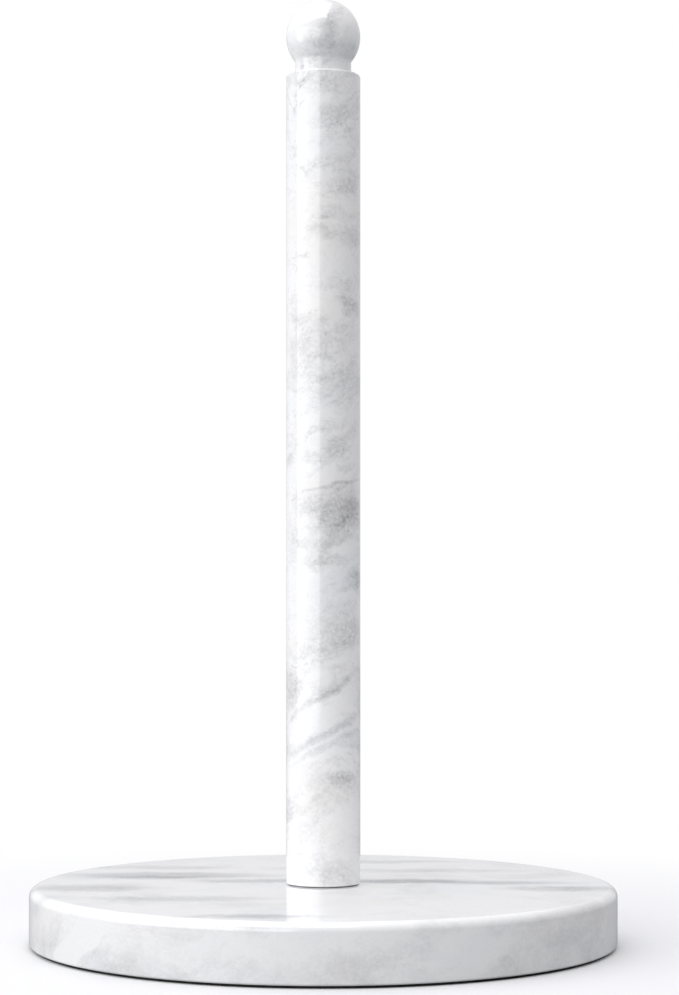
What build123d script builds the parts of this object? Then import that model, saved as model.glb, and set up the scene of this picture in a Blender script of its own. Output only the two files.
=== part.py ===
from build123d import *
import os
from math import sqrt

os.makedirs("parts", exist_ok=True)

# A free-standing paper towel holder in white marble: a heavy round base, a
# round pole that unscrews by hand, and a ball finial on a short neck.
# Millimetres, +Z up along the pole. The origin is at the centre of the
# underside, on the surface that the holder stands on.

# ---------------------------------------------------------------------------
# Driving dimensions
# ---------------------------------------------------------------------------

# Base disc
base_diameter = 197.0
base_thickness = 18.8
base_top_rounding = 3.0
base_bottom_rounding = 0.8

# Non-slip pad glued under the base
pad_thickness = 0.8
pad_inset = 1.5  # the pad's edge stands this far in from the base's edge

# Pole
pole_diameter = 25.0
pole_length = 272.0
pole_top_rounding = 0.9
pole_foot_rounding = 0.3

# Thin ring that keeps the pole's foot off the base's polished top
foot_washer_thickness = 0.4
foot_washer_inset = 1.0  # in from the pole's edge
foot_washer_clearance = 0.35  # around the bolt, per side

# Finial: a ball on a short straight neck
neck_diameter = 18.8
neck_height = 4.8  # straight part, from the pole's top to where the ball begins
neck_foot_rounding = 0.3
neck_blend = 0.6  # small cove where the ball meets the neck

# M8 hexagon bolt that stands up through the base, head down
bolt_thread_diameter = 7.9  # over the crests of the thread
bolt_thread_pitch = 1.25
bolt_length = 30.0  # under the head
bolt_head_across_flats = 13.0
bolt_head_height = 5.3
bolt_head_chamfer = 0.5
bolt_hole_clearance = 0.55  # between the bolt and its hole in the base, per side

# Washer between the bolt's head and the stone
bolt_washer_diameter = 24.0
bolt_washer_bore = 8.4
bolt_washer_thickness = 2.0

# Counterbore in the underside, filled with cast resin around the head
counterbore_diameter = 26.0
head_cover = 1.7  # resin under the bolt's head

# Threaded sleeve bonded in the pole's foot
insert_diameter = 12.0
insert_length = 18.0
insert_recess = 2.8  # the sleeve stops this far short of the pole's foot
insert_bore_chamfer = 0.6
thread_clearance = 0.08  # between the bolt's crests and the sleeve's bore, per side
glue_pocket = 1.0  # spare depth past the end of a bonded piece

# Dowel bonded half in the pole and half in the finial
dowel_diameter = 6.0
dowel_length = 24.0
dowel_chamfer = 0.5

# ---------------------------------------------------------------------------
# Sizes and heights that follow from them
# ---------------------------------------------------------------------------

base_bottom_z = pad_thickness
base_top_z = base_bottom_z + base_thickness

counterbore_depth = head_cover + bolt_head_height + bolt_washer_thickness
bolt_head_bottom_z = base_bottom_z + head_cover
bolt_head_top_z = bolt_head_bottom_z + bolt_head_height
bolt_washer_top_z = bolt_head_top_z + bolt_washer_thickness
bolt_tip_z = bolt_head_top_z + bolt_length
bolt_hole_diameter = bolt_thread_diameter + 2 * bolt_hole_clearance

pole_foot_z = base_top_z + foot_washer_thickness
pole_top_z = pole_foot_z + pole_length

insert_bottom_z = pole_foot_z + insert_recess
insert_top_z = insert_bottom_z + insert_length
insert_bore = bolt_thread_diameter + 2 * thread_clearance
foot_bore_depth = max(insert_top_z, bolt_tip_z) + glue_pocket - pole_foot_z

# The ball is as wide as the pole, so a roll's core that slides on the pole passes it.
ball_radius = pole_diameter / 2
neck_radius = neck_diameter / 2
neck_top_z = pole_top_z + neck_height
ball_centre_z = neck_top_z + sqrt(ball_radius**2 - neck_radius**2)
finial_top_z = ball_centre_z + ball_radius

dowel_bottom_z = pole_top_z - dowel_length / 2
dowel_bore_depth = dowel_length / 2 + glue_pocket

# ---------------------------------------------------------------------------
# Base, with what is fixed in it
# ---------------------------------------------------------------------------

with BuildPart() as base_disc:
    with BuildSketch(Plane.XY.offset(base_bottom_z)):
        Circle(base_diameter / 2)
    extrude(amount=base_thickness)
    rims = base_disc.edges().filter_by(GeomType.CIRCLE).sort_by(Axis.Z)
    fillet(rims[-1], base_top_rounding)
    fillet(rims[0], base_bottom_rounding)
    with Locations(base_disc.faces().sort_by(Axis.Z)[0]):
        CounterBoreHole(
            radius=bolt_hole_diameter / 2,
            counter_bore_radius=counterbore_diameter / 2,
            counter_bore_depth=counterbore_depth,
            depth=base_thickness,
        )
base_disc.part.label = "base_disc"
export_step(base_disc.part, "parts/base_disc.step")

with BuildPart() as anti_slip_pad:
    with BuildSketch():
        Circle(base_diameter / 2 - pad_inset)
    extrude(amount=pad_thickness)
anti_slip_pad.part.label = "anti_slip_pad"
export_step(anti_slip_pad.part, "parts/anti_slip_pad.step")

# The thread is drawn as a plain cylinder over its crests.
with BuildPart() as base_bolt:
    with BuildSketch(Plane.XY.offset(bolt_head_bottom_z)):
        RegularPolygon(bolt_head_across_flats / 2, 6, major_radius=False)
    extrude(amount=bolt_head_height)
    chamfer(base_bolt.edges().group_by(Axis.Z)[0], bolt_head_chamfer)
    with BuildSketch(Plane.XY.offset(bolt_head_top_z)):
        Circle(bolt_thread_diameter / 2)
    extrude(amount=bolt_length)
    chamfer(base_bolt.edges().sort_by(Axis.Z)[-1], bolt_thread_pitch / 2)
base_bolt.part.label = "base_bolt"
export_step(base_bolt.part, "parts/base_bolt.step")

with BuildPart() as bolt_washer:
    with BuildSketch(Plane.XY.offset(bolt_head_top_z)):
        Circle(bolt_washer_diameter / 2)
        Circle(bolt_washer_bore / 2, mode=Mode.SUBTRACT)
    extrude(amount=bolt_washer_thickness)
bolt_washer.part.label = "bolt_washer"
export_step(bolt_washer.part, "parts/bolt_washer.step")

# The resin takes up what the bolt's head and its washer leave of the counterbore.
with BuildPart() as resin_plug:
    with BuildSketch(Plane.XY.offset(base_bottom_z)):
        Circle(counterbore_diameter / 2)
    extrude(amount=counterbore_depth)
    with BuildSketch(Plane.XY.offset(bolt_head_top_z)):
        Circle(bolt_washer_diameter / 2)
    extrude(amount=bolt_washer_thickness, mode=Mode.SUBTRACT)
    add(base_bolt.part, mode=Mode.SUBTRACT)
resin_plug.part.label = "resin_plug"
export_step(resin_plug.part, "parts/resin_plug.step")

# ---------------------------------------------------------------------------
# Ring between the base and the pole
# ---------------------------------------------------------------------------

with BuildPart() as foot_washer:
    with BuildSketch(Plane.XY.offset(base_top_z)):
        Circle(pole_diameter / 2 - foot_washer_inset)
        Circle(bolt_thread_diameter / 2 + foot_washer_clearance, mode=Mode.SUBTRACT)
    extrude(amount=foot_washer_thickness)
foot_washer.part.label = "foot_washer"
export_step(foot_washer.part, "parts/foot_washer.step")

# ---------------------------------------------------------------------------
# Pole, with what is bonded in it
# ---------------------------------------------------------------------------

with BuildPart() as pole:
    with BuildSketch(Plane.XY.offset(pole_foot_z)):
        Circle(pole_diameter / 2)
    extrude(amount=pole_length)
    rims = pole.edges().filter_by(GeomType.CIRCLE).sort_by(Axis.Z)
    fillet(rims[-1], pole_top_rounding)
    fillet(rims[0], pole_foot_rounding)
    with Locations(pole.faces().sort_by(Axis.Z)[0]):
        Hole(insert_diameter / 2, depth=foot_bore_depth)
    with Locations(pole.faces().sort_by(Axis.Z)[-1]):
        Hole(dowel_diameter / 2, depth=dowel_bore_depth)
pole.part.label = "pole"
export_step(pole.part, "parts/pole.step")

# The sleeve's thread is drawn as a plain bore that clears the bolt's crests.
with BuildPart() as pole_insert:
    with BuildSketch(Plane.XY.offset(insert_bottom_z)):
        Circle(insert_diameter / 2)
        Circle(insert_bore / 2, mode=Mode.SUBTRACT)
    extrude(amount=insert_length)
    bore_rims = pole_insert.edges().filter_by(GeomType.CIRCLE).sort_by(SortBy.RADIUS)[0:2]
    chamfer(bore_rims, insert_bore_chamfer)
pole_insert.part.label = "pole_insert"
export_step(pole_insert.part, "parts/pole_insert.step")

with BuildPart() as finial:
    with BuildSketch(Plane.XZ):
        with BuildLine():
            foot_line = Line((0, pole_top_z), (neck_radius, pole_top_z))
            neck_line = Line(foot_line @ 1, (neck_radius, neck_top_z))
            ball_arc = ThreePointArc(neck_line @ 1, (ball_radius, ball_centre_z), (0, finial_top_z))
            Line(ball_arc @ 1, foot_line @ 0)
        make_face()
    revolve(axis=Axis.Z)
    neck_rims = finial.edges().filter_by(GeomType.CIRCLE).sort_by(Axis.Z)
    fillet(neck_rims[1], neck_blend)
    fillet(neck_rims[0], neck_foot_rounding)
    with Locations(finial.faces().sort_by(Axis.Z)[0]):
        Hole(dowel_diameter / 2, depth=dowel_bore_depth)
finial.part.label = "finial"
export_step(finial.part, "parts/finial.step")

with BuildPart() as finial_dowel:
    with BuildSketch(Plane.XY.offset(dowel_bottom_z)):
        Circle(dowel_diameter / 2)
    extrude(amount=dowel_length)
    chamfer(finial_dowel.edges().filter_by(GeomType.CIRCLE), dowel_chamfer)
finial_dowel.part.label = "finial_dowel"
export_step(finial_dowel.part, "parts/finial_dowel.step")
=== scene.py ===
"""A marble paper towel holder: a round base, a pole that unscrews by hand and a ball finial.

Every length is in metres unless its name ends in _mm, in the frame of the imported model: +Z up the
pole, the origin under the middle of the base.
"""

import logging
import math
from dataclasses import dataclass
from enum import Enum
from typing import Any, Callable, Iterable

import bmesh
import bpy
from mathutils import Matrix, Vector


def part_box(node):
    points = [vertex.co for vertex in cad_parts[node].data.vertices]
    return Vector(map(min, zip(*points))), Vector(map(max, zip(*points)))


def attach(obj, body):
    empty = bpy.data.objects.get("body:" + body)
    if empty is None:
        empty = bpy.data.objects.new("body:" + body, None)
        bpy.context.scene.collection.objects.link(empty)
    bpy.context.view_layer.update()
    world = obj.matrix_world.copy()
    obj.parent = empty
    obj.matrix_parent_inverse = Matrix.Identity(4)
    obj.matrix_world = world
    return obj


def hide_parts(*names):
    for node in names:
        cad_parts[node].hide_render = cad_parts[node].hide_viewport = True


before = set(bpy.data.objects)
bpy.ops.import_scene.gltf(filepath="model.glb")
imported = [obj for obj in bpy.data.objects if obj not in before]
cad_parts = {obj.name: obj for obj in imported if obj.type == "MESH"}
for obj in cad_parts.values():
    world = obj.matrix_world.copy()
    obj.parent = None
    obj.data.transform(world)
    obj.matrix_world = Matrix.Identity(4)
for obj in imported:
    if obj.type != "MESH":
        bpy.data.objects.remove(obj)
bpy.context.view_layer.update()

LOG = logging.getLogger("paper_towel_holder")

MM = 0.001

Colour = tuple[float, float, float, float]
Point = tuple[float, float, float]


# Corners closer than this are one corner.
WELD = 0.001 * MM
# A bore is this much deeper than what is glued into it.
SPARE_DEPTH = 1.0 * MM
# A rounding on a flat face ends in a first narrow ring of faces this wide, which keeps it smooth.
NARROW_RING = 0.2 * MM
# The thread of the bolt, and how far the sleeve's thread clears it.
BOLT_CREST_RADIUS = 3.95 * MM
THREAD_CLEARANCE = 0.08 * MM
# Threaded pieces keep edges sharper than this, in degrees, so that the flanks stay crisp.
CRISP_DEG = 30.0


class Part(Enum):
    """What a test of place is made on."""

    EDGE = "EDGE"
    FACE = "FACE"


class Facing(Enum):
    """Which way a level face looks."""

    UP = 1.0
    DOWN = -1.0


class Edge(Enum):
    """How a patch in the stone ends: ragged, or drawn out smoothly by the folding."""

    TORN = "torn"
    DRAWN = "drawn"


class Body(Enum):
    """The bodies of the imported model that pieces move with."""

    BASE = "base"
    FOOT_RING = "foot_ring"
    POLE = "pole"


# ---------------------------------------------------------------------------
# Colours and nodes
# ---------------------------------------------------------------------------


def srgb(code: str) -> Colour:
    """Turns an sRGB hex value into the linear colour that shaders take.

    Args:
        code: Six hex digits, such as "F2F2F3".

    Returns:
        Linear red, green and blue, with an alpha of 1.
    """
    parts = [int(code[i : i + 2], 16) / 255 for i in (0, 2, 4)]
    linear = [c / 12.92 if c <= 0.04045 else ((c + 0.055) / 1.055) ** 2.4 for c in parts]
    return (linear[0], linear[1], linear[2], 1.0)


def add_node(
    tree: bpy.types.NodeTree,
    kind: str,
    inputs: dict[str | int, Any] | None = None,
    **settings: Any,
) -> bpy.types.Node:
    """Adds a node, sets its properties, and fills or links its sockets.

    Args:
        tree: The tree that the node joins.
        kind: The node's type, such as "ShaderNodeMath".
        inputs: Socket name or number to a value, or to the socket that feeds it. A node stands
            for its first output.
        settings: The node's own properties, such as operation="MULTIPLY".

    Returns:
        The new node.
    """
    node = tree.nodes.new(kind)
    for name, value in settings.items():
        setattr(node, name, value)
    for key, value in (inputs or {}).items():
        if isinstance(value, bpy.types.Node):
            value = value.outputs[0]
        if isinstance(value, bpy.types.NodeSocket):
            tree.links.new(value, node.inputs[key])
        else:
            node.inputs[key].default_value = value
    return node


def new_material(name: str) -> tuple[bpy.types.Material, bpy.types.NodeTree]:
    """Makes an empty node material.

    Args:
        name: What the material is.

    Returns:
        The material and its cleared node tree.
    """
    material = bpy.data.materials.new(name)
    material.use_nodes = True
    material.node_tree.nodes.clear()
    return material, material.node_tree


def object_mm(tree: bpy.types.NodeTree) -> bpy.types.NodeSocket:
    """Gives the place on the piece in millimetres, which is where patterns start from.

    Args:
        tree: The material's tree.

    Returns:
        A vector socket.
    """
    place = add_node(tree, "ShaderNodeTexCoord").outputs["Object"]
    scaled = add_node(
        tree, "ShaderNodeVectorMath", {0: place, "Scale": 1 / MM}, operation="SCALE"
    )
    return scaled.outputs["Vector"]


# ---------------------------------------------------------------------------
# Finishes
# ---------------------------------------------------------------------------


@dataclass(frozen=True)
class Patch:
    """A grey patch in the stone, or with a strength below 0 a clear white one. A few are painted
    light instead: a painted shadow on the base's top and a painted highlight on the finial.

    It is an ellipsoid with a ragged, soft edge. turn_deg leans it in the XZ plane, positive for a
    right end that is higher.
    """

    centre_mm: Point
    radii_mm: Point
    strength: float
    turn_deg: float = 0.0
    edge: Edge = Edge.TORN


@dataclass(frozen=True)
class PolishedMarble:
    """Polished white marble: a calcite ground with soft grey clouds, thin veins and a sugary grain.

    It gives the eye a bright neutral white, drifting greys with no hard edge, a fine crystalline
    speckle in the darker zones and a glossy face that mirrors at a low angle.
    """

    name: str
    ground: str = "F2F2F2"
    grey: str = "999A9D"
    warm: str = "F1EFED"
    cool: str = "EBEDF0"
    # The bedding: clouds are longer along it than across it.
    bedding_turn_deg: float = 16.0
    bedding_squeeze: float = 2.0
    fold_mm: float = 14.0
    cloud_mm: float = 24.0
    cloud_amount: float = 0.32
    mottle_mm: float = 9.0
    mottle_roughness: float = 0.72
    mottle_amount: float = 0.60
    vein_mm: float = 26.0
    vein_amount: float = 0.26
    # Calcite crystals just under a millimetre across.
    crystal_mm: float = 0.85
    crystal_in_white: float = 0.07
    crystal_in_grey: float = 0.55
    # How far the edge of a patch is torn.
    tear_mm: float = 9.0
    roughness: float = 0.07
    # Between calcite's 1.49 and 1.66.
    ior: float = 1.6
    shift_mm: Point = (0.0, 0.0, 0.0)
    patches: tuple[Patch, ...] = ()

    def bedded(self, tree: bpy.types.NodeTree, place: bpy.types.NodeSocket) -> bpy.types.Node:
        """Folds the stone's layers and lays them at their tilt.

        Args:
            tree: The material's tree.
            place: The place in millimetres.

        Returns:
            A vector in which the layers are level and unsqueezed.
        """
        shifted = add_node(
            tree, "ShaderNodeVectorMath", {0: place, 1: self.shift_mm}, operation="ADD"
        )
        fold = add_node(
            tree,
            "ShaderNodeTexNoise",
            {"Vector": shifted, "Scale": 1 / 45.0, "Detail": 3.0, "Roughness": 0.55},
        )
        centred = add_node(
            tree,
            "ShaderNodeVectorMath",
            {0: fold.outputs["Color"], 1: (0.5, 0.5, 0.5)},
            operation="SUBTRACT",
        )
        reach = add_node(
            tree, "ShaderNodeVectorMath", {0: centred, "Scale": 2 * self.fold_mm}, operation="SCALE"
        )
        folded = add_node(tree, "ShaderNodeVectorMath", {0: shifted, 1: reach}, operation="ADD")
        return add_node(
            tree,
            "ShaderNodeMapping",
            {
                "Vector": folded,
                "Rotation": (0.0, math.radians(-self.bedding_turn_deg), 0.0),
                "Scale": (1.0, 1.0, 1 / self.bedding_squeeze),
            },
            vector_type="TEXTURE",
        )

    def clouds(self, tree: bpy.types.NodeTree, bedded: bpy.types.Node) -> bpy.types.Node:
        """Makes the soft grey clouds that drift along the bedding.

        Args:
            tree: The material's tree.
            bedded: The folded, tilted place.

        Returns:
            A value from 0, clear white, to the clouds' full grey.
        """
        noise = add_node(
            tree,
            "ShaderNodeTexNoise",
            {"Vector": bedded, "Scale": 1 / self.cloud_mm, "Detail": 8.0, "Roughness": 0.62},
        )
        return add_node(
            tree,
            "ShaderNodeMapRange",
            {"Value": noise, "From Min": 0.43, "From Max": 0.72, "To Max": self.cloud_amount},
            interpolation_type="SMOOTHSTEP",
        )

    def veins(self, tree: bpy.types.NodeTree, bedded: bpy.types.Node) -> bpy.types.Node:
        """Makes thin broken veins, where a noise crosses its middle value.

        Args:
            tree: The material's tree.
            bedded: The folded, tilted place.

        Returns:
            A value from 0 to the veins' full grey.
        """
        noise = add_node(
            tree,
            "ShaderNodeTexNoise",
            {"Vector": bedded, "Scale": 1 / self.vein_mm, "Detail": 6.0, "Roughness": 0.58},
        )
        off_middle = add_node(tree, "ShaderNodeMath", {0: noise, 1: 0.5}, operation="SUBTRACT")
        away = add_node(tree, "ShaderNodeMath", {0: off_middle}, operation="ABSOLUTE")
        core = add_node(
            tree,
            "ShaderNodeMapRange",
            {
                "Value": away,
                "From Min": 0.0,
                "From Max": 0.03,
                "To Min": self.vein_amount,
                "To Max": 0.0,
            },
            interpolation_type="SMOOTHSTEP",
        )
        breaks = add_node(
            tree,
            "ShaderNodeTexNoise",
            {"Vector": bedded, "Scale": 1 / 15.0, "Detail": 4.0, "Roughness": 0.6},
        )
        there = add_node(
            tree,
            "ShaderNodeMapRange",
            {"Value": breaks, "From Min": 0.50, "From Max": 0.66},
            interpolation_type="SMOOTHSTEP",
        )
        return add_node(tree, "ShaderNodeMath", {0: core, 1: there}, operation="MULTIPLY")

    def mottle(self, tree: bpy.types.NodeTree, bedded: bpy.types.Node) -> bpy.types.Node:
        """Makes the uneven whiteness of packed crystals, a few millimetres across.

        Args:
            tree: The material's tree.
            bedded: The folded, tilted place.

        Returns:
            A value around 0.
        """
        noise = add_node(
            tree,
            "ShaderNodeTexNoise",
            {
                "Vector": bedded,
                "Scale": 1 / self.mottle_mm,
                "Detail": 6.0,
                "Roughness": self.mottle_roughness,
            },
        )
        return add_node(
            tree,
            "ShaderNodeMath",
            {0: noise, 1: self.mottle_amount, 2: -0.5 * self.mottle_amount},
            operation="MULTIPLY_ADD",
        )

    def pushed(
        self,
        tree: bpy.types.NodeTree,
        place: bpy.types.NodeSocket,
        size_mm: float,
        detail: float,
        reach_mm: float,
    ) -> bpy.types.Node:
        """Pushes the place about by a noise.

        Args:
            tree: The material's tree.
            place: The place in millimetres.
            size_mm: How large the noise's lumps are.
            detail: How many finer layers it has.
            reach_mm: How far it pushes.

        Returns:
            The pushed place.
        """
        noise = add_node(
            tree,
            "ShaderNodeTexNoise",
            {"Vector": place, "Scale": 1 / size_mm, "Detail": detail, "Roughness": 0.68},
        )
        centred = add_node(
            tree,
            "ShaderNodeVectorMath",
            {0: noise.outputs["Color"], 1: (0.5, 0.5, 0.5)},
            operation="SUBTRACT",
        )
        reach = add_node(
            tree, "ShaderNodeVectorMath", {0: centred, "Scale": reach_mm}, operation="SCALE"
        )
        return add_node(tree, "ShaderNodeVectorMath", {0: place, 1: reach}, operation="ADD")

    def patchwork(self, tree: bpy.types.NodeTree, place: bpy.types.NodeSocket) -> bpy.types.Node:
        """Adds up the patches that this piece has at known places, some of them painted light: a
        painted shadow on the base and a painted highlight on the finial.

        Args:
            tree: The material's tree.
            place: The place in millimetres.

        Returns:
            A value above 0 in a grey patch and below 0 in a white one.
        """
        places = {
            Edge.TORN: self.pushed(tree, place, 6.0, 6.0, self.tear_mm),
            Edge.DRAWN: self.pushed(tree, place, 16.0, 2.0, 0.8 * self.tear_mm),
        }
        total: bpy.types.Node | float = 0.0
        for patch in self.patches:
            local = add_node(
                tree,
                "ShaderNodeMapping",
                {
                    "Vector": places[patch.edge],
                    "Location": patch.centre_mm,
                    "Rotation": (0.0, math.radians(-patch.turn_deg), 0.0),
                    "Scale": patch.radii_mm,
                },
                vector_type="TEXTURE",
            )
            far = add_node(tree, "ShaderNodeVectorMath", {0: local}, operation="LENGTH")
            here = add_node(
                tree,
                "ShaderNodeMapRange",
                {
                    "Value": far.outputs["Value"],
                    "From Min": 0.3,
                    "From Max": 1.2,
                    "To Min": patch.strength,
                    "To Max": 0.0,
                },
                interpolation_type="SMOOTHSTEP",
            )
            total = add_node(tree, "ShaderNodeMath", {0: total, 1: here}, operation="ADD")
        return total

    def crystals(
        self, tree: bpy.types.NodeTree, place: bpy.types.NodeSocket, greyness: bpy.types.Node
    ) -> bpy.types.Node:
        """Makes the sugary speckle, which shows more in grey stone than in white.

        Args:
            tree: The material's tree.
            place: The place in millimetres.
            greyness: How grey the stone is without its speckle.

        Returns:
            A value around 0.
        """
        cells = add_node(
            tree, "ShaderNodeTexVoronoi", {"Vector": place, "Scale": 1 / self.crystal_mm}
        )
        tone = add_node(tree, "ShaderNodeSeparateColor", {"Color": cells.outputs["Color"]})
        centred = add_node(tree, "ShaderNodeMath", {0: tone, 1: 0.5}, operation="SUBTRACT")
        depth = add_node(
            tree,
            "ShaderNodeMath",
            {0: greyness, 1: self.crystal_in_grey, 2: self.crystal_in_white},
            operation="MULTIPLY_ADD",
        )
        return add_node(tree, "ShaderNodeMath", {0: centred, 1: depth}, operation="MULTIPLY")

    def tinted_ground(self, tree: bpy.types.NodeTree, bedded: bpy.types.Node) -> bpy.types.Node:
        """Makes the white ground, which drifts a little to warm and to cool.

        Args:
            tree: The material's tree.
            bedded: The folded, tilted place.

        Returns:
            The ground as a Mix node, whose third output is its colour.
        """
        hue = add_node(
            tree, "ShaderNodeTexNoise", {"Vector": bedded, "Scale": 1 / 50.0, "Detail": 3.0}
        )
        ground: bpy.types.NodeSocket | Colour = srgb(self.ground)
        for tint, start, full in ((self.warm, 0.54, 0.70), (self.cool, 0.46, 0.30)):
            share = add_node(
                tree, "ShaderNodeMapRange", {"Value": hue, "From Min": start, "From Max": full}
            )
            mixed = add_node(
                tree, "ShaderNodeMix", {0: share, 6: ground, 7: srgb(tint)}, data_type="RGBA"
            )
            ground = mixed.outputs[2]
        return mixed

    def make(self) -> bpy.types.Material:
        """Builds the material.

        Returns:
            The marble, in Object coordinates.
        """
        material, tree = new_material(self.name)
        place = object_mm(tree)
        bedded = self.bedded(tree, place)
        greyness = self.clouds(tree, bedded)
        for layer in (
            self.veins(tree, bedded),
            self.mottle(tree, bedded),
            self.patchwork(tree, place),
        ):
            greyness = add_node(
                tree, "ShaderNodeMath", {0: greyness, 1: layer}, operation="ADD", use_clamp=True
            )
        speckle = self.crystals(tree, place, greyness)
        speckled = add_node(
            tree, "ShaderNodeMath", {0: greyness, 1: speckle}, operation="ADD", use_clamp=True
        )
        ground = self.tinted_ground(tree, bedded)
        colour = add_node(
            tree,
            "ShaderNodeMix",
            {0: speckled, 6: ground.outputs[2], 7: srgb(self.grey)},
            data_type="RGBA",
        )
        # Grey stone is softer and takes a little less polish.
        roughness = add_node(
            tree,
            "ShaderNodeMapRange",
            {"Value": speckled, "To Min": self.roughness, "To Max": self.roughness + 0.16},
        )
        relief = add_node(
            tree,
            "ShaderNodeBump",
            {"Height": speckled, "Strength": 0.3, "Distance": 0.02 * MM},
            invert=True,
        )
        shader = add_node(
            tree,
            "ShaderNodeBsdfPrincipled",
            {
                "Base Color": colour.outputs[2],
                "Roughness": roughness,
                "IOR": self.ior,
                "Normal": relief,
            },
        )
        add_node(tree, "ShaderNodeOutputMaterial", {"Surface": shader})
        return material


@dataclass(frozen=True)
class PlainFinish:
    """A finish of one colour with a fine mottle and a fine relief.

    spot_mm is the size of its mottle, tint_depth how far the mottle darkens it, and relief_mm the
    height of its relief.
    """

    name: str
    colour: str
    dark: str
    spot_mm: float
    tint_depth: float
    roughness: float
    roughness_spread: float
    relief_mm: float
    metallic: float = 0.0
    stretch: Point = (1.0, 1.0, 1.0)

    def make(self) -> bpy.types.Material:
        """Builds the material.

        Returns:
            The finish, in Object coordinates.
        """
        material, tree = new_material(self.name)
        place = add_node(
            tree, "ShaderNodeMapping", {"Vector": object_mm(tree), "Scale": self.stretch}
        ).outputs["Vector"]
        mottle = add_node(
            tree,
            "ShaderNodeTexNoise",
            {"Vector": place, "Scale": 1 / self.spot_mm, "Detail": 5.0, "Roughness": 0.6},
        ).outputs["Fac"]
        spread = add_node(
            tree,
            "ShaderNodeMapRange",
            {"Value": mottle, "From Min": 0.35, "From Max": 0.7, "To Max": self.tint_depth},
        ).outputs["Result"]
        colour = add_node(
            tree,
            "ShaderNodeMix",
            {0: spread, 6: srgb(self.colour), 7: srgb(self.dark)},
            data_type="RGBA",
        ).outputs[2]
        roughness = add_node(
            tree,
            "ShaderNodeMapRange",
            {
                "Value": mottle,
                "From Min": 0.3,
                "From Max": 0.7,
                "To Min": self.roughness,
                "To Max": self.roughness + self.roughness_spread,
            },
        ).outputs["Result"]
        relief = add_node(
            tree,
            "ShaderNodeBump",
            {"Height": mottle, "Strength": 1.0, "Distance": self.relief_mm * MM},
        ).outputs["Normal"]
        shader = add_node(
            tree,
            "ShaderNodeBsdfPrincipled",
            {"Base Color": colour, "Roughness": roughness, "Normal": relief},
        )
        shader.inputs["Metallic"].default_value = self.metallic
        add_node(tree, "ShaderNodeOutputMaterial", {"Surface": shader.outputs["BSDF"]})
        return material


BASE_MARBLE = PolishedMarble(
    name="polished_marble_base",
    shift_mm=(410.0, 130.0, 55.0),
    bedding_turn_deg=8.0,
    cloud_mm=34.0,
    cloud_amount=0.26,
    mottle_mm=20.0,
    mottle_roughness=0.52,
    mottle_amount=0.36,
    vein_amount=0.08,
    crystal_in_grey=0.20,
    tear_mm=12.0,
    patches=(
        # On the top: at the back left, both sides of the pole's foot (at its right a painted shadow
        # of the pole), the right, and the front.
        Patch((-56.0, 26.0, 19.0), (44.0, 11.0, 9.0), 0.68, edge=Edge.DRAWN),
        Patch((-60.0, 18.0, 19.0), (30.0, 6.0, 9.0), 0.44, edge=Edge.DRAWN),
        Patch((-24.0, 9.0, 19.0), (26.0, 7.0, 6.0), 0.62),
        # A painted shadow: the shadow that the pole casts to the right of its foot, painted into
        # the stone as a dark patch.
        Patch((26.0, 9.0, 19.0), (30.0, 8.0, 6.0), 0.88, edge=Edge.DRAWN),
        Patch((58.0, 3.0, 19.0), (34.0, 7.0, 5.0), 0.58, edge=Edge.DRAWN),
        Patch((80.0, -13.0, 19.0), (26.0, 9.0, 5.0), 0.62),
        Patch((-78.0, -12.0, 19.0), (26.0, 12.0, 5.0), 0.52),
        Patch((-62.0, 50.0, 19.0), (34.0, 8.0, 5.0), 0.42, edge=Edge.DRAWN),
        Patch((22.0, 70.0, 19.0), (36.0, 7.0, 5.0), 0.46, edge=Edge.DRAWN),
        Patch((34.0, 40.0, 19.0), (40.0, 8.0, 5.0), 0.36, edge=Edge.DRAWN),
        Patch((-22.0, -84.0, 19.0), (26.0, 6.0, 4.0), 0.50, edge=Edge.DRAWN),
        Patch((-46.0, -40.0, 19.0), (36.0, 9.0, 5.0), 0.42),
        Patch((50.0, -50.0, 19.0), (22.0, 9.0, 5.0), -0.30),
        # On the side: a clear streak that leans at the left, and soft greys round the front.
        Patch((-76.0, -63.0, 9.0), (4.5, 14.0, 24.0), -0.60, -50.0, Edge.DRAWN),
        Patch((-87.0, -45.0, 6.0), (7.0, 12.0, 9.0), 0.16, -50.0),
        Patch((-58.0, -80.0, 6.0), (12.0, 12.0, 8.0), 0.12),
        Patch((-20.0, -96.0, 12.0), (16.0, 8.0, 6.0), -0.12),
        Patch((44.0, -88.0, 10.0), (14.0, 10.0, 7.0), -0.12),
    ),
)
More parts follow.
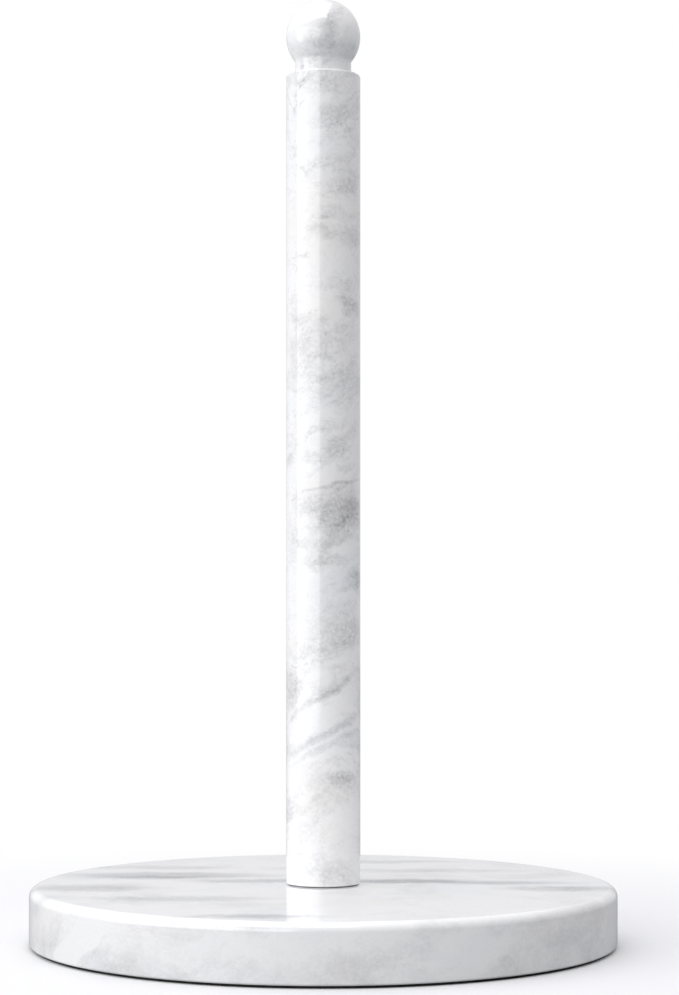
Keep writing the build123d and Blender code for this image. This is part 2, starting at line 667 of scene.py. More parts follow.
POLE_MARBLE = PolishedMarble(
    name="polished_marble_pole",
    shift_mm=(60.0, 220.0, 0.0),
    patches=(
        # From the top down.
        Patch((0.0, -12.5, 287.0), (11.0, 7.0, 3.4), 0.14),
        Patch((5.5, -11.0, 251.0), (7.0, 4.0, 1.8), 0.24),
        Patch((5.5, -11.0, 260.0), (7.0, 5.0, 3.5), 0.14),
        Patch((9.5, -8.5, 213.0), (8.0, 6.0, 3.6), 0.34, -32.0),
        Patch((0.0, -12.5, 196.0), (6.0, 4.0, 1.8), 0.20),
        Patch((4.5, -11.5, 166.0), (5.5, 4.0, 3.2), 0.24),
        Patch((-3.0, -12.0, 163.0), (8.0, 4.0, 2.2), 0.16),
        Patch((-11.5, -5.0, 162.0), (2.0, 4.0, 3.0), 0.24),
        Patch((6.0, -10.5, 145.5), (14.0, 11.0, 9.0), 0.36, 8.0),
        Patch((5.0, -11.0, 154.0), (14.0, 9.0, 0.9), 0.30, 9.0, Edge.DRAWN),
        Patch((-6.0, -11.0, 148.0), (8.0, 6.0, 6.0), 0.14),
        Patch((-10.0, -8.0, 136.0), (5.0, 6.0, 6.0), 0.18),
        Patch((4.0, -12.0, 129.0), (10.0, 5.0, 2.0), 0.16, 6.0),
        Patch((11.5, -5.0, 123.0), (2.5, 5.0, 4.0), 0.22),
        Patch((4.0, -11.5, 106.0), (13.0, 9.0, 12.0), 0.13),
        Patch((-10.0, -7.0, 86.0), (4.5, 6.0, 8.0), 0.22, 30.0),
        Patch((2.5, -12.0, 86.0), (9.0, 7.0, 3.0), 0.24, 26.0),
        Patch((-1.0, -12.0, 82.0), (24.0, 10.0, 1.5), 0.24, 33.0, Edge.DRAWN),
        Patch((1.0, -12.0, 77.0), (24.0, 10.0, 2.2), -0.26, 33.0, Edge.DRAWN),
        Patch((3.0, -12.0, 72.0), (24.0, 10.0, 1.8), 0.28, 31.0, Edge.DRAWN),
        Patch((0.0, -12.0, 66.0), (22.0, 10.0, 1.4), 0.18, 30.0, Edge.DRAWN),
        Patch((6.5, -10.5, 56.0), (7.5, 6.0, 3.4), 0.26),
        Patch((-8.0, -9.0, 52.0), (6.0, 6.0, 12.0), -0.14),
        Patch((1.0, -12.0, 25.0), (12.0, 8.0, 5.0), 0.22),
    ),
)
FINIAL_MARBLE = PolishedMarble(
    name="polished_marble_finial",
    shift_mm=(700.0, 20.0, 90.0),
    crystal_in_grey=0.35,
    tear_mm=5.0,
    patches=(
        # A pointed darker vein down the front, greys below and round the neck, and a painted
        # highlight at the upper left of the ball.
        Patch((2.2, -12.0, 304.5), (3.0, 5.0, 7.5), 0.28),
        Patch((3.0, -9.0, 298.5), (13.0, 9.0, 5.0), 0.20),
        Patch((-4.0, -8.0, 293.5), (10.0, 9.0, 3.5), 0.14),
        # A painted highlight: the ball's upper left made clear white where the overhead light
        # shines on it.
        Patch((-6.0, -6.0, 311.0), (9.0, 9.0, 8.0), -0.40),
    ),
)

# Closed-cell foam rubber: dull black with fine pores.
FOAM_RUBBER = PlainFinish(
    "foam_rubber", "1B1B1C", "0E0E0F", spot_mm=0.7, tint_depth=1.0,
    roughness=0.75, roughness_spread=0.15, relief_mm=0.12,
)
# Zinc-plated steel: pale bluish grey metal with a faintly cloudy plating.
ZINC_STEEL = PlainFinish(
    "zinc_plated_steel", "C3C6CA", "A4A8AD", spot_mm=1.6, tint_depth=0.8,
    roughness=0.26, roughness_spread=0.14, relief_mm=0.01, metallic=1.0,
)
# Drawn steel rod: grey metal with fine lines along its length.
DRAWN_STEEL = PlainFinish(
    "drawn_steel", "B4B5B7", "8F9093", spot_mm=0.5, tint_depth=0.7,
    roughness=0.3, roughness_spread=0.12, relief_mm=0.01, metallic=1.0, stretch=(1.0, 1.0, 0.06),
)
# Turned brass: yellow metal with fine rings from the lathe tool.
TURNED_BRASS = PlainFinish(
    "turned_brass", "D9B46A", "B58E45", spot_mm=0.6, tint_depth=0.6,
    roughness=0.22, roughness_spread=0.14, relief_mm=0.01, metallic=1.0, stretch=(0.15, 0.15, 2.0),
)
# Cast epoxy: cream, slightly cloudy, with a soft shine.
CAST_EPOXY = PlainFinish(
    "cast_epoxy", "D8D2C2", "C2BAA6", spot_mm=5.0, tint_depth=0.8,
    roughness=0.3, roughness_spread=0.2, relief_mm=0.05,
)
# Thin polyethylene washer: grey, waxy, faintly frosted.
GREY_POLYETHYLENE = PlainFinish(
    "grey_polyethylene", "A0A1A3", "8E8F92", spot_mm=0.8, tint_depth=0.7,
    roughness=0.42, roughness_spread=0.15, relief_mm=0.01,
)


# ---------------------------------------------------------------------------
# Modelling by hand: selection, edit-mode steps and finishing
# ---------------------------------------------------------------------------


def leave_edit_mode() -> None:
    """Goes back to object mode where a piece is still being edited."""
    if bpy.context.mode != "OBJECT":
        bpy.ops.object.mode_set(mode="OBJECT")


def face_outwards() -> None:
    """Turns every face of the piece that is being edited outwards.

    A Boolean reads an inside-out face as the other side of the metal, so a piece needs this before
    it is carved.
    """
    bpy.ops.mesh.select_mode(type="VERT")
    bpy.ops.mesh.select_all(action="SELECT")
    bpy.ops.mesh.normals_make_consistent(inside=False)


def start_piece(name: str, add: Callable[..., Any], **sizes: Any) -> bpy.types.Object:
    """Adds a primitive with nothing else selected, and leaves it in edit mode.

    Args:
        name: The piece's name.
        add: The primitive's operator.
        sizes: The operator's sizes and place.

    Returns:
        The new object.
    """
    leave_edit_mode()
    bpy.ops.object.select_all(action="DESELECT")
    add(**sizes)
    bpy.ops.object.transform_apply(location=True, rotation=True, scale=True)
    piece = bpy.context.object
    piece.name = name
    piece.data.name = name
    bpy.ops.object.mode_set(mode="EDIT")
    bpy.ops.mesh.select_all(action="DESELECT")
    return piece


def start_cylinder(
    name: str, radius: float, span: tuple[float, float], facets: int, turn_deg: float = 0.0
) -> bpy.types.Object:
    """Starts a piece from an upright cylinder on the Z axis.

    Args:
        name: The piece's name.
        radius: Its radius, out to its corners.
        span: Its foot's and its top's height.
        facets: How many sides it has.
        turn_deg: How far it is turned about the Z axis.

    Returns:
        The cylinder, in edit mode.
    """
    foot, top = span
    return start_piece(
        name,
        bpy.ops.mesh.primitive_cylinder_add,
        vertices=facets,
        radius=radius,
        depth=top - foot,
        location=(0.0, 0.0, (top + foot) / 2),
        rotation=(0.0, 0.0, math.radians(turn_deg)),
        end_fill_type="NGON",
    )


def pick(
    piece: bpy.types.Object,
    part: Part,
    wanted: Callable[[Any], bool],
) -> int:
    """Selects edges or faces by their place or normal, and nothing else.

    Args:
        piece: The piece in edit mode.
        part: Whether edges or faces are picked.
        wanted: Says of an edge or a face whether it is to be selected.

    Returns:
        How many were selected.

    Raises:
        ValueError: Nothing on the piece is where the test looks.
    """
    bpy.ops.mesh.select_mode(type=part.value)
    bpy.ops.mesh.select_all(action="DESELECT")
    shape = bmesh.from_edit_mesh(piece.data)
    shape.normal_update()
    everything = shape.edges if part is Part.EDGE else shape.faces
    chosen = [one for one in everything if wanted(one)]
    if not chosen:
        raise ValueError(f"{piece.name}: no {part.name.lower()} is where it is looked for")
    for one in chosen:
        one.select_set(True)
    shape.select_flush_mode()
    bmesh.update_edit_mesh(piece.data)
    return len(chosen)


def on_ring(radius: float, height: float, slack: float = 0.02 * MM) -> Callable[[Any], bool]:
    """Gives a test for edges that lie round the Z axis at a radius and a height.

    Args:
        radius: The ring's radius.
        height: The ring's height.
        slack: How far off it a corner may be.

    Returns:
        The test, for pick().
    """

    def test(edge: Any) -> bool:
        """Says whether both ends of an edge are on the ring."""
        return all(
            abs(v.co.z - height) < slack and abs(math.hypot(v.co.x, v.co.y) - radius) < slack
            for v in edge.verts
        )

    return test


def flat_at(height: float, facing: Facing) -> Callable[[Any], bool]:
    """Gives a test for level faces that hold the Z axis.

    Args:
        height: The face's height.
        facing: Which way the face looks.

    Returns:
        The test, for pick().
    """

    def test(face: Any) -> bool:
        """Says whether a face is the level one at that height, on the axis."""
        middle = face.calc_center_median()
        level = face.normal.z * facing.value > 0.99
        near_axis = math.hypot(middle.x, middle.y) < 0.01 * MM
        return level and near_axis and abs(middle.z - height) < 0.01 * MM

    return test


def inset_to(
    piece: bpy.types.Object, height: float, facing: Facing, steps: Iterable[float]
) -> None:
    """Insets the level face on the axis, once for each step inwards.

    Args:
        piece: The piece in edit mode.
        height: The face's height.
        facing: Which way the face looks.
        steps: How far each inset goes in.
    """
    for step in steps:
        pick(piece, Part.FACE, flat_at(height, facing))
        bpy.ops.mesh.inset(thickness=step)


def sink(piece: bpy.types.Object, height: float, facing: Facing, depth: float) -> None:
    """Pushes the level face on the axis into the piece, as a drill or a cutter does.

    Args:
        piece: The piece in edit mode.
        height: The face's height.
        facing: Which way the face looks.
        depth: How deep it goes.
    """
    pick(piece, Part.FACE, flat_at(height, facing))
    move = (0.0, 0.0, -facing.value * depth)
    bpy.ops.mesh.extrude_region_move(TRANSFORM_OT_translate={"value": move})


def soften(piece: bpy.types.Object, ring: tuple[float, float], width: float, cuts: int) -> None:
    """Rounds the edge that runs round the axis.

    Args:
        piece: The piece in edit mode.
        ring: The edge's radius and height.
        width: The rounding's radius.
        cuts: How many facets it has.
    """
    pick(piece, Part.EDGE, on_ring(*ring))
    bpy.ops.mesh.bevel(
        offset=width, offset_type="OFFSET", segments=cuts, profile=0.5, affect="EDGES"
    )


def turn_ring(
    name: str, radius: float, bore: float, span: tuple[float, float], edge: float, facets: int
) -> bpy.types.Object:
    """Turns a ring: a cylinder bored through, with its four rims softened.

    Args:
        name: The piece's name.
        radius: Its outer radius.
        bore: Its bore's radius.
        span: Its foot's and its top's height.
        edge: The radius of its softened rims.
        facets: How many sides its circles have.

    Returns:
        The ring, in edit mode.
    """
    foot, top = span
    piece = start_cylinder(name, radius, span, facets)
    for height, facing in ((foot, Facing.DOWN), (top, Facing.UP)):
        inset_to(piece, height, facing, [radius - bore])
    pick(
        piece,
        Part.FACE,
        lambda face: flat_at(foot, Facing.DOWN)(face) or flat_at(top, Facing.UP)(face),
    )
    bpy.ops.mesh.bridge_edge_loops()
    for rim in (radius, bore):
        for height in span:
            soften(piece, (rim, height), edge, 3)
    face_outwards()
    return piece


class Carving(Enum):
    """What a Boolean does with its tool."""

    CUT = "DIFFERENCE"
    JOIN = "UNION"
    TRIM = "INTERSECT"


def carve(piece: bpy.types.Object, tool: bpy.types.Object, carving: Carving) -> None:
    """Cuts, joins or trims a piece by another one, which is then thrown away.

    Args:
        piece: The piece, in edit or object mode.
        tool: The other piece.
        carving: What is done with it.
    """
    leave_edit_mode()
    bpy.ops.object.select_all(action="DESELECT")
    bpy.context.view_layer.objects.active = piece
    piece.select_set(True)
    step = piece.modifiers.new("carve", "BOOLEAN")
    step.operation = carving.value
    step.solver = "EXACT"
    step.object = tool
    bpy.ops.object.modifier_apply(modifier=step.name)
    bpy.data.objects.remove(tool, do_unlink=True)
    bpy.ops.object.mode_set(mode="EDIT")


@dataclass(frozen=True)
class Thread:
    """A right-hand metric thread about the Z axis, all of whose turns keep to one helix."""

    crest_radius: float
    pitch: float = 1.25 * MM
    facets: int = 48

    @property
    def root_radius(self) -> float:
        """The radius at the bottom of the groove, 0.61 of a pitch in from the crest."""
        return self.crest_radius - 0.61 * self.pitch

    def rod(self, name: str, foot: float, top: float) -> bpy.types.Object:
        """Cuts a threaded rod with flat ends.

        Args:
            name: The piece's name.
            foot: Its lowest height.
            top: Its highest height.

        Returns:
            The rod, in edit mode.
        """
        start = (math.floor(foot / self.pitch) - 1) * self.pitch
        turns = math.ceil((top - start) / self.pitch) + 1
        piece = start_piece(
            name,
            bpy.ops.mesh.primitive_plane_add,
            size=self.pitch,
            location=(self.root_radius, 0.0, start),
        )
        bpy.ops.mesh.select_mode(type="VERT")
        bpy.ops.mesh.select_all(action="SELECT")
        bpy.ops.mesh.merge(type="CENTER")
        depth = self.crest_radius - self.root_radius
        flank = self.pitch * (1 - 1 / 4 - 1 / 8) / 2
        # The root's flat, the flank out, the crest's flat and the flank in.
        for out, up in (
            (0.0, self.pitch / 4),
            (depth, flank),
            (0.0, self.pitch / 8),
            (-depth, flank),
        ):
            bpy.ops.mesh.extrude_vertices_move(TRANSFORM_OT_translate={"value": (out, 0.0, up)})
        bpy.ops.object.mode_set(mode="OBJECT")
        wind = piece.modifiers.new("wind", "SCREW")
        wind.axis = "Z"
        wind.angle = math.tau
        wind.screw_offset = self.pitch
        wind.iterations = turns
        wind.steps = wind.render_steps = self.facets
        wind.use_merge_vertices = True
        wind.merge_threshold = WELD
        bpy.ops.object.modifier_apply(modifier=wind.name)
        bpy.ops.object.mode_set(mode="EDIT")
        bpy.ops.mesh.select_mode(type="VERT")
        for height, keep_above in ((foot, True), (top, False)):
            bpy.ops.mesh.select_all(action="SELECT")
            bpy.ops.mesh.bisect(
                plane_co=(0.0, 0.0, height),
                plane_no=(0.0, 0.0, 1.0),
                use_fill=True,
                clear_inner=keep_above,
                clear_outer=not keep_above,
            )
        bpy.ops.mesh.select_all(action="SELECT")
        bpy.ops.mesh.remove_doubles(threshold=WELD)
        face_outwards()
        return piece


def finish_piece(
    piece: bpy.types.Object,
    material: bpy.types.Material,
    body: Body,
    nodes: Iterable[str],
    smooth_deg: float = 40.0,
) -> bpy.types.Object:
    """Leaves edit mode, cleans and shades a piece, dresses it and seats it on its body.

    Args:
        piece: The piece in edit mode.
        material: Its finish.
        body: The body that it moves with.
        nodes: The CAD nodes that it replaces.
        smooth_deg: Edges sharper than this stay sharp.

    Returns:
        The finished piece.
    """
    bpy.ops.mesh.select_mode(type="VERT")
    bpy.ops.mesh.select_all(action="SELECT")
    bpy.ops.mesh.remove_doubles(threshold=WELD)
    face_outwards()
    bpy.ops.object.mode_set(mode="OBJECT")
    bpy.ops.object.transform_apply(location=True, rotation=True, scale=True)
    bpy.ops.object.shade_smooth_by_angle(angle=math.radians(smooth_deg))
    even = piece.modifiers.new("even_shading", "WEIGHTED_NORMAL")
    even.keep_sharp = True
    even.weight = 80
    bpy.ops.object.modifier_apply(modifier=even.name)
    piece.data.materials.clear()
    piece.data.materials.append(material)
    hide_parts(*nodes)
    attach(piece, body.value)
    LOG.info("%s: %d faces, rides on %s", piece.name, len(piece.data.polygons), body.value)
    return piece


def dress_node(node: str, material: bpy.types.Material) -> None:
    """Gives a CAD node that stays its finish.

    Args:
        node: The node's name.
        material: Its finish.
    """
    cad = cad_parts[node]
    cad.data.materials.clear()
    cad.data.materials.append(material)
    LOG.info("%s: kept, now %s", node, material.name)


# ---------------------------------------------------------------------------
# Sub-assemblies
# ---------------------------------------------------------------------------


def ring_sizes(node: str) -> tuple[float, float, float]:
    """Reads a round CAD node's radius, foot and top.

    Args:
        node: The node's name.

    Returns:
        Its radius, lowest height and highest height.
    """
    low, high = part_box(node)
    return (high.x - low.x) / 2, low.z, high.z


@dataclass
class Base:
    """The heavy round foot: marble disc, foam pad and the bolt that stands up through it."""

    body: Body = Body.BASE
    top_rounding: float = 3.0 * MM
    bottom_rounding: float = 0.8 * MM
    facets: int = 384
    bolt_hole_radius: float = 4.5 * MM
    counterbore_radius: float = 13.0 * MM
    thread: Thread = Thread(BOLT_CREST_RADIUS)
    bite: float = 0.4 * MM
    blank_clearance: float = 0.02 * MM
    head_turn_deg: float = 30.0
    tip_chamfer: float = 0.9 * MM
    head_chamfer: float = 0.5 * MM
    washer_bore: float = 4.2 * MM
    washer_edge: float = 0.25 * MM
    washer_facets: int = 96
    pad_edge: float = 0.15 * MM

    def disc(self) -> bpy.types.Object:
        """Turns, rounds and counterbores the marble disc.

        Returns:
            The finished disc.
        """
        radius, foot, top = ring_sizes("base_disc")
        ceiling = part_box("bolt_washer")[1].z
        piece = start_cylinder("marble_base", radius, (foot, top), self.facets)
        soften(piece, (radius, top), self.top_rounding, 14)
        soften(piece, (radius, foot), self.bottom_rounding, 6)
        flat_top = radius - self.top_rounding
        ring = 3 * NARROW_RING
        inset_to(piece, top, Facing.UP, [ring, flat_top - ring - self.bolt_hole_radius])
        flat_foot = radius - self.bottom_rounding
        ring = 2 * NARROW_RING
        inset_to(piece, foot, Facing.DOWN, [ring, flat_foot - ring - self.counterbore_radius])
        sink(piece, foot, Facing.DOWN, ceiling - foot)
        inset_to(piece, ceiling, Facing.DOWN, [self.counterbore_radius - self.bolt_hole_radius])
        hole_foot, hole_top = flat_at(ceiling, Facing.DOWN), flat_at(top, Facing.UP)
        pick(piece, Part.FACE, lambda face: hole_foot(face) or hole_top(face))
        bpy.ops.mesh.bridge_edge_loops()
        return finish_piece(piece, BASE_MARBLE.make(), self.body, ["base_disc"])

    def pad(self) -> bpy.types.Object:
        """Cuts the foam pad, with its edge pressed slightly round.

        Returns:
            The finished pad.
        """
        radius, foot, top = ring_sizes("anti_slip_pad")
        piece = start_cylinder("foam_pad", radius, (foot, top), self.facets)
        for height in (foot, top):
            soften(piece, (radius, height), self.pad_edge, 3)
        return finish_piece(
            piece, FOAM_RUBBER.make(), self.body, ["anti_slip_pad"]
        )

    def bolt(self, zinc: bpy.types.Material) -> bpy.types.Object:
        """Makes the hexagon bolt: a chamfered threaded shank on a chamfered head.

        Args:
            zinc: The plated steel.

        Returns:
            The finished bolt.
        """
        low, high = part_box("base_bolt")
        head_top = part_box("bolt_washer")[0].z
        # The shank starts inside the head, and the blank that trims it clears its crests.
        piece = self.thread.rod("hex_bolt", head_top - self.bite, high.z + self.bite)
        blank_radius = self.thread.crest_radius + self.blank_clearance
        blank = start_cylinder("blank", blank_radius, (low.z, high.z), self.thread.facets)
        pick(blank, Part.EDGE, on_ring(blank_radius, high.z))
        bpy.ops.mesh.bevel(offset=self.tip_chamfer, segments=1, affect="EDGES")
        carve(piece, blank, Carving.TRIM)
        corner_radius = (high.x - low.x) / 2
        head = start_cylinder("head", corner_radius, (low.z, head_top), 6, self.head_turn_deg)
        pick(head, Part.EDGE, on_ring(corner_radius, low.z))
        bpy.ops.mesh.bevel(offset=self.head_chamfer, segments=2, affect="EDGES")
        carve(piece, head, Carving.JOIN)
        return finish_piece(piece, zinc, self.body, ["base_bolt"], CRISP_DEG)

    def washer(self, zinc: bpy.types.Material) -> bpy.types.Object:
        """Stamps the washer that the bolt's head draws up against the stone.

        Args:
            zinc: The plated steel.

        Returns:
            The finished washer.
        """
        radius, foot, top = ring_sizes("bolt_washer")
        piece = turn_ring(
            "plated_washer",
            radius,
            self.washer_bore,
            (foot, top),
            self.washer_edge,
            self.washer_facets,
        )
        return finish_piece(piece, zinc, self.body, ["bolt_washer"])

    def build(self) -> None:
        """Builds every piece of the base."""
        self.disc()
        self.pad()
        zinc = ZINC_STEEL.make()
        self.bolt(zinc)
        self.washer(zinc)
        dress_node("resin_plug", CAST_EPOXY.make())


@dataclass
class FootRing:
    """The thin ring between the base and the pole."""

    body: Body = Body.FOOT_RING
    bore: float = 4.3 * MM
    edge: float = 0.12 * MM
    facets: int = 144

    def build(self) -> None:
        """Punches the ring and softens its rims."""
        radius, foot, top = ring_sizes("foot_washer")
        piece = turn_ring("plastic_ring", radius, self.bore, (foot, top), self.edge, self.facets)
        finish_piece(
            piece, GREY_POLYETHYLENE.make(), self.body, ["foot_washer"]
        )


@dataclass
class Pole:
    """The pole, which unscrews by hand, with its threaded sleeve, the finial and its dowel."""

    body: Body = Body.POLE
    facets: int = 192
    top_rounding: float = 0.9 * MM
    foot_rounding: float = 0.3 * MM
    neck_radius: float = 9.4 * MM
    neck_height: float = 4.8 * MM
    neck_blend: float = 0.6 * MM
    foot_of_neck_rounding: float = 0.3 * MM
    # The sleeve's thread keeps to the bolt's own helix.
    thread: Thread = Thread(BOLT_CREST_RADIUS + THREAD_CLEARANCE)
    sleeve_facets: int = 96
    sleeve_edge: float = 0.3 * MM
    # The sleeve's grooves hold the glue: how deep they are, and where, as shares of its height.
    groove_depth: float = 0.35 * MM
    groove_places: tuple[float, ...] = (0.25, 0.5, 0.75)
    tap_overrun: float = 1.0 * MM

    def shaft(self) -> bpy.types.Object:
        """Turns the pole and drills both its ends.

        Returns:
            The finished pole.
        """
        radius, foot, top = ring_sizes("pole")
        piece = start_cylinder("marble_pole", radius, (foot, top), self.facets)
        soften(piece, (radius, top), self.top_rounding, 8)
        soften(piece, (radius, foot), self.foot_rounding, 4)
        sleeve_radius, _, sleeve_top = ring_sizes("pole_insert")
        dowel_radius, dowel_foot, _ = ring_sizes("finial_dowel")
        to_sleeve = radius - self.foot_rounding - NARROW_RING - sleeve_radius
        inset_to(piece, foot, Facing.DOWN, [NARROW_RING, to_sleeve])
        sink(piece, foot, Facing.DOWN, sleeve_top + SPARE_DEPTH - foot)
        to_dowel = radius - self.top_rounding - NARROW_RING - dowel_radius
        inset_to(piece, top, Facing.UP, [NARROW_RING, to_dowel])
        sink(piece, top, Facing.UP, top - dowel_foot + SPARE_DEPTH)
        return finish_piece(piece, POLE_MARBLE.make(), self.body, ["pole"])

    def finial(self) -> bpy.types.Object:
        """Turns the ball and its neck from one piece.

        Returns:
            The finished finial.
        """
        radius, foot, top = ring_sizes("finial")
        neck_top = foot + self.neck_height
        piece = start_piece(
            "marble_finial",
            bpy.ops.mesh.primitive_uv_sphere_add,
            segments=self.facets,
            ring_count=self.facets // 2,
            radius=radius,
            location=(0.0, 0.0, top - radius),
        )
        bpy.ops.mesh.select_all(action="SELECT")
        bpy.ops.mesh.bisect(
            plane_co=(0.0, 0.0, neck_top), plane_no=(0.0, 0.0, 1.0), use_fill=True, clear_inner=True
        )
        face_outwards()
        pick(piece, Part.FACE, flat_at(neck_top, Facing.DOWN))
        bpy.ops.mesh.extrude_region_move(
            TRANSFORM_OT_translate={"value": (0.0, 0.0, foot - neck_top)}
        )
        soften(piece, (self.neck_radius, neck_top), self.neck_blend, 5)
        soften(piece, (self.neck_radius, foot), self.foot_of_neck_rounding, 4)
        dowel_radius, _, dowel_top = ring_sizes("finial_dowel")
        to_dowel = self.neck_radius - self.foot_of_neck_rounding - dowel_radius
        inset_to(piece, foot, Facing.DOWN, [to_dowel])
        sink(piece, foot, Facing.DOWN, dowel_top + SPARE_DEPTH - foot)
        return finish_piece(piece, FINIAL_MARBLE.make(), self.body, ["finial"])

    def sleeve(self) -> bpy.types.Object:
        """Turns the brass sleeve, with glue grooves round it, and taps its bore.

        Returns:
            The finished sleeve.
        """
        radius, foot, top = ring_sizes("pole_insert")
        piece = turn_ring(
            "brass_sleeve",
            radius,
            self.thread.root_radius,
            (foot, top),
            self.sleeve_edge,
            self.sleeve_facets,
        )
        for share in self.groove_places:
            middle = foot + share * (top - foot)
            for height in (middle - self.groove_depth, middle, middle + self.groove_depth):
                bpy.ops.mesh.select_all(action="SELECT")
                bpy.ops.mesh.bisect(plane_co=(0.0, 0.0, height), plane_no=(0.0, 0.0, 1.0))
            pick(piece, Part.EDGE, on_ring(radius, middle))
            waist = (radius - self.groove_depth) / radius
            bpy.ops.transform.resize(
                value=(waist, waist, 1.0), center_override=(0.0, 0.0, middle)
            )
        # The tap runs past both ends, so that the thread is cut right through.
        tap = self.thread.rod("tap", foot - self.tap_overrun, top + self.tap_overrun)
        carve(piece, tap, Carving.CUT)
        return finish_piece(
            piece, TURNED_BRASS.make(), self.body, ["pole_insert"], CRISP_DEG
        )

    def build(self) -> None:
        """Builds every piece of the pole."""
        self.shaft()
        self.finial()
        self.sleeve()
        dress_node("finial_dowel", DRAWN_STEEL.make())


# ---------------------------------------------------------------------------
# The studio
# ---------------------------------------------------------------------------


@dataclass(frozen=True)
class Softbox:
    """A large even light: its middle, what it faces, its width, height and brightness.

    radiance is on the scale on which a white wall in full light is 1. One that is for_shine shows
    in polished faces only.
    """

    name: str
    middle: Point
    faces: Point
    width: float
    height: float
    radiance: float
    for_shine: bool = False

    def build(self) -> bpy.types.Object:
        """Hangs the light.

        Returns:
            The light's object.
        """
        data = bpy.data.lights.new(self.name, "AREA")
        data.shape = "RECTANGLE"
        data.size = self.width
        data.size_y = self.height
        data.energy = self.radiance * math.pi * self.width * self.height
        light = bpy.data.objects.new(self.name, data)
        bpy.context.scene.collection.objects.link(light)
        light.location = self.middle
        aim = Vector(self.faces) - Vector(self.middle)
        light.rotation_euler = aim.to_track_quat("-Z", "Y").to_euler()
        light.visible_camera = False
        light.visible_diffuse = not self.for_shine
        LOG.info("%s: %.2f x %.2f m", self.name, self.width, self.height)
        return light


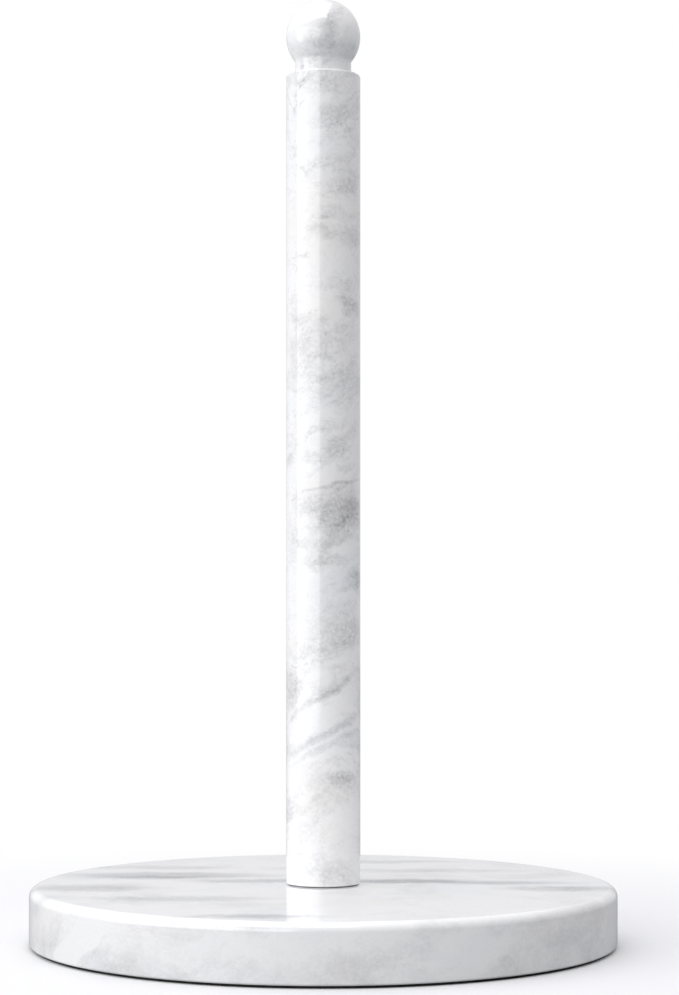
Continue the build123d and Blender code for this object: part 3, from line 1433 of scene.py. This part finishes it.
@dataclass
class Studio:
    """The pale floor, the surrounding light and the camera."""

    # How bright the room is to each side: right, back and top, then left, front and below.
    room_ahead: Point = (0.57, 0.68, 1.62)
    room_behind: Point = (0.86, 0.20, 0.40)
    room_tint: str = "FCFCFF"
    floor_size: float = 8.0
    # The paper that the camera sees, and the dimmer one that lights the holder from below.
    floor_paper: str = "E9E9EA"
    floor_bounce: str = "A6A7A9"
    # The paper turns to the backdrop's white between these distances from the holder's axis.
    floor_fade_from: float = 0.16
    floor_fade_to: float = 0.34
    eye_distance: float = 0.789
    eye_height: float = 0.1116
    focal_length_mm: float = 84.66
    shift: tuple[float, float] = (0.0163, 0.1142)

    def softboxes(self) -> tuple[Softbox, ...]:
        """Gives the lights: one that stands on the floor at the left, and a shine overhead."""
        away, turn = 1.2, math.radians(49.5)
        left = (-away * math.sin(turn), -away * math.cos(turn), 0.375)
        return (
            Softbox("left_softbox", left, (0.0, 0.0, 0.375), 1.91, 0.75, 2.11),
            Softbox("top_shine", (-0.55, -0.2, 1.3), (-0.55, -0.2, 0.0), 1.5, 1.3, 5.0, True),
        )

    def surroundings(self) -> None:
        """Sets the even light of the room, with a white backdrop behind the holder."""
        world = bpy.data.worlds.new("pale_studio")
        world.use_nodes = True
        tree = world.node_tree
        tree.nodes.clear()
        seen = add_node(tree, "ShaderNodeLightPath").outputs["Is Camera Ray"]
        way = add_node(tree, "ShaderNodeTexCoord").outputs["Generated"]
        parts = []
        for pick_side, strengths in (("MAXIMUM", self.room_ahead), ("MINIMUM", self.room_behind)):
            side = add_node(
                tree, "ShaderNodeVectorMath", {0: way, 1: (0.0, 0.0, 0.0)}, operation=pick_side
            ).outputs["Vector"]
            square = add_node(
                tree, "ShaderNodeVectorMath", {0: side, 1: side}, operation="MULTIPLY"
            ).outputs["Vector"]
            parts.append(
                add_node(
                    tree, "ShaderNodeVectorMath", {0: square, 1: strengths}, operation="DOT_PRODUCT"
                ).outputs["Value"]
            )
        strength = add_node(
            tree, "ShaderNodeMath", {0: parts[0], 1: parts[1]}, operation="ADD"
        ).outputs["Value"]
        room = add_node(
            tree,
            "ShaderNodeBackground",
            {"Color": srgb(self.room_tint), "Strength": strength},
        ).outputs["Background"]
        backdrop = add_node(
            tree, "ShaderNodeBackground", {"Color": (1.0, 1.0, 1.0, 1.0), "Strength": 1.0}
        ).outputs["Background"]
        both = add_node(tree, "ShaderNodeMixShader", {0: seen, 1: room, 2: backdrop})
        add_node(tree, "ShaderNodeOutputWorld", {"Surface": both.outputs["Shader"]})
        bpy.context.scene.world = world

    def floor(self) -> bpy.types.Object:
        """Lays the floor just under the pad. From below it is clear, so that the pad can be seen.

        Returns:
            The floor.
        """
        bpy.ops.object.select_all(action="DESELECT")
        bpy.ops.mesh.primitive_plane_add(size=self.floor_size, location=(0.0, 0.0, -0.05 * MM))
        floor = bpy.context.object
        floor.name = "floor"
        material, tree = new_material("white_sweep")
        behind = add_node(tree, "ShaderNodeNewGeometry").outputs["Backfacing"]
        seen = add_node(tree, "ShaderNodeLightPath").outputs["Is Camera Ray"]
        tone = add_node(
            tree,
            "ShaderNodeMix",
            {0: seen, 6: srgb(self.floor_bounce), 7: srgb(self.floor_paper)},
            data_type="RGBA",
        ).outputs[2]
        paper = add_node(
            tree, "ShaderNodeBsdfDiffuse", {"Color": tone, "Roughness": 0.0}
        ).outputs["BSDF"]
        place = add_node(tree, "ShaderNodeTexCoord").outputs["Object"]
        far = add_node(
            tree, "ShaderNodeVectorMath", {0: place}, operation="LENGTH"
        ).outputs["Value"]
        fade = add_node(
            tree,
            "ShaderNodeMapRange",
            {"Value": far, "From Min": self.floor_fade_from, "From Max": self.floor_fade_to},
            interpolation_type="SMOOTHSTEP",
        ).outputs["Result"]
        white = add_node(
            tree, "ShaderNodeMath", {0: fade, 1: seen}, operation="MULTIPLY"
        ).outputs["Value"]
        glow = add_node(
            tree, "ShaderNodeEmission", {"Color": (1.0, 1.0, 1.0, 1.0), "Strength": 1.0}
        ).outputs["Emission"]
        sweep = add_node(tree, "ShaderNodeMixShader", {0: white, 1: paper, 2: glow})
        clear = add_node(tree, "ShaderNodeBsdfTransparent").outputs["BSDF"]
        both = add_node(
            tree, "ShaderNodeMixShader", {0: behind, 1: sweep.outputs["Shader"], 2: clear}
        )
        add_node(tree, "ShaderNodeOutputMaterial", {"Surface": both.outputs["Shader"]})
        floor.data.materials.append(material)
        return floor

    def camera(self) -> bpy.types.Object:
        """Stands the camera level in front, with the frame shifted up to take in the whole pole.

        Returns:
            The camera.
        """
        data = bpy.data.cameras.new("camera")
        data.lens = self.focal_length_mm
        data.sensor_width = 36.0
        data.shift_x, data.shift_y = self.shift
        data.clip_start, data.clip_end = 0.01, 50.0
        camera = bpy.data.objects.new("camera", data)
        bpy.context.scene.collection.objects.link(camera)
        camera.location = (0.0, -self.eye_distance, self.eye_height)
        camera.rotation_euler = (math.radians(90.0), 0.0, 0.0)
        bpy.context.scene.camera = camera
        return camera

    def build(self) -> None:
        """Sets up the floor, the lights and the camera."""
        bpy.context.scene.view_settings.view_transform = "Standard"
        self.camera()
        self.floor()
        self.surroundings()
        for softbox in self.softboxes():
            softbox.build()


def main() -> None:
    """Builds the holder from the base up, and then the studio round it."""
    logging.basicConfig(level=logging.INFO, format="%(name)s: %(message)s")
    Base().build()
    FootRing().build()
    Pole().build()
    Studio().build()


if __name__ == "__main__":
    main()
